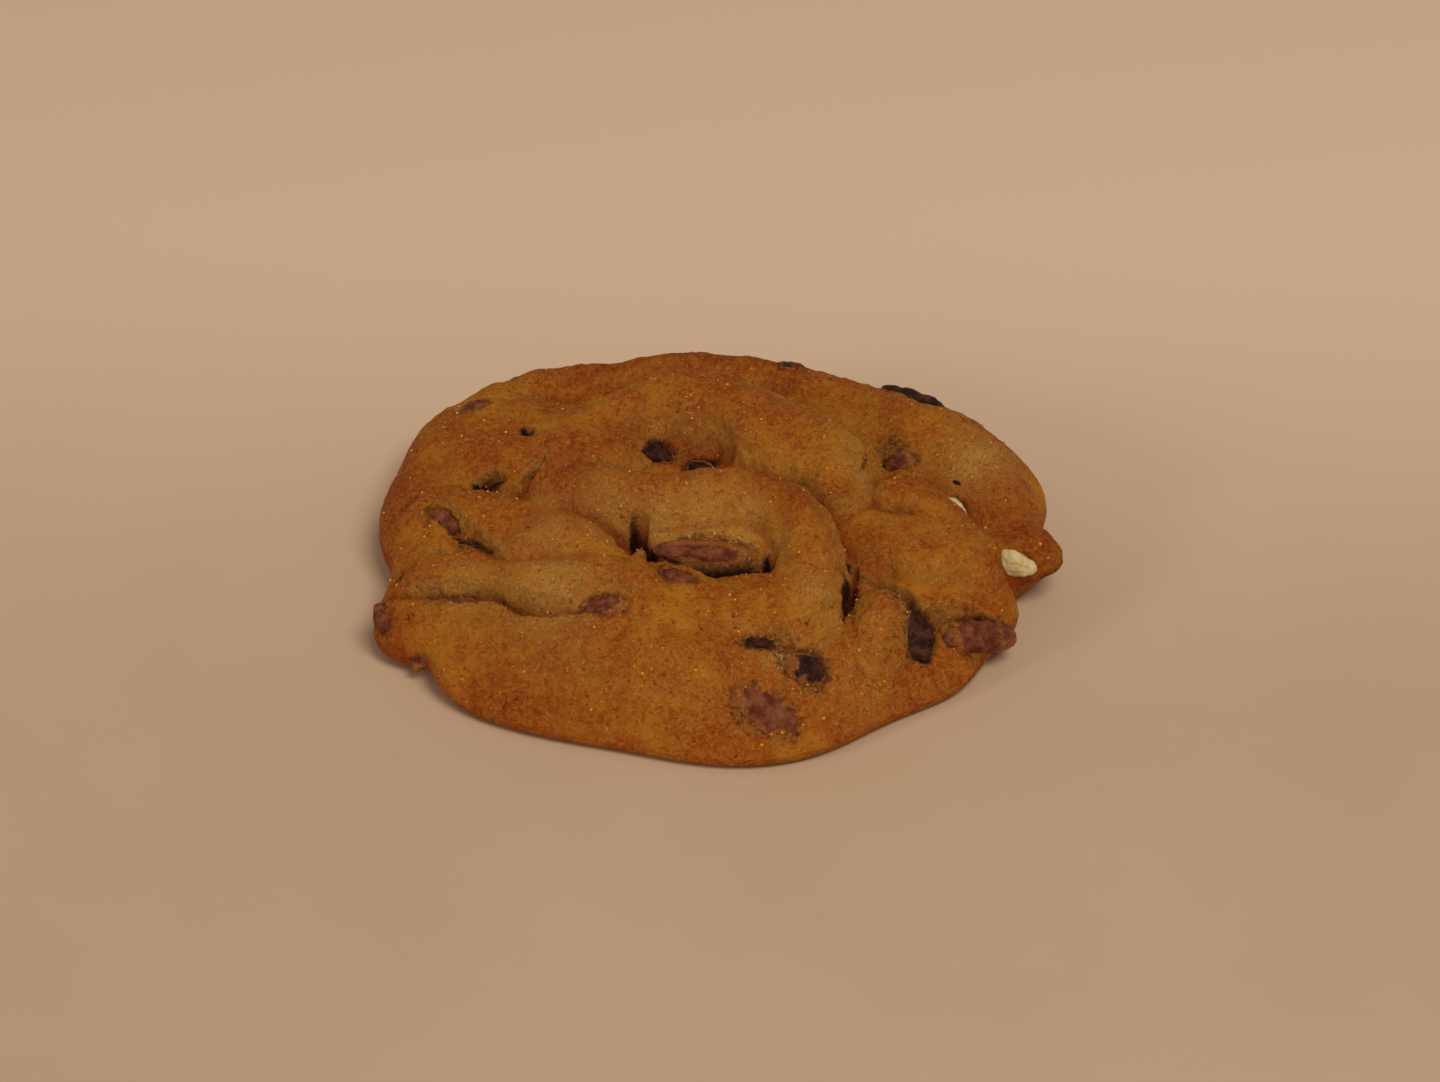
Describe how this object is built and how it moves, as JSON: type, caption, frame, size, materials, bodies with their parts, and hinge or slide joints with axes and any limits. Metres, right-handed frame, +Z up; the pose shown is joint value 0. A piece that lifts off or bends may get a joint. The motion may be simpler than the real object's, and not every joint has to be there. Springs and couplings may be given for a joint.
{
  "type": "chocolate chip cookie",
  "caption": "Soft baked cookie with folded, cracked dough and milk, dark and white chocolate pieces set into its top.",
  "frame": {"origin": "middle of the cookie's bounding box in plan, on the surface it rests on", "axes": "+X along the cookie's longest side, to the right in the picture; +Y away from the picture's viewer; +Z up, through its thickness"},
  "size_m": [0.0894, 0.0768, 0.0191],
  "materials": {
    "dough": "matt, porous, baked",
    "milk_chocolate": "satin",
    "dark_chocolate": "satin",
    "white_chocolate": "satin"
  },
  "bodies": {
    "root": {"dough": "dough", "front_chip": "milk_chocolate", "step_chip": "milk_chocolate", "rope_chip": "milk_chocolate", "block_chip": "milk_chocolate", "centre_chip": "milk_chocolate", "lip_chip": "milk_chocolate", "valley_chip": "milk_chocolate", "corner_chip": "milk_chocolate", "shoulder_chip": "milk_chocolate", "edge_chip": "milk_chocolate", "foot_chip": "milk_chocolate", "swirl_chip": "dark_chocolate", "swirl_tail_chip": "dark_chocolate", "groove_chip": "dark_chocolate", "upper_chip": "dark_chocolate", "upper_right_chip": "dark_chocolate", "pit_chip": "dark_chocolate", "rim_chip": "dark_chocolate", "gap_chip": "dark_chocolate", "lump_chip": "dark_chocolate", "back_chip": "dark_chocolate", "nub_chip": "white_chocolate", "lobe_chip": "white_chocolate"}
  },
  "joints": []
}
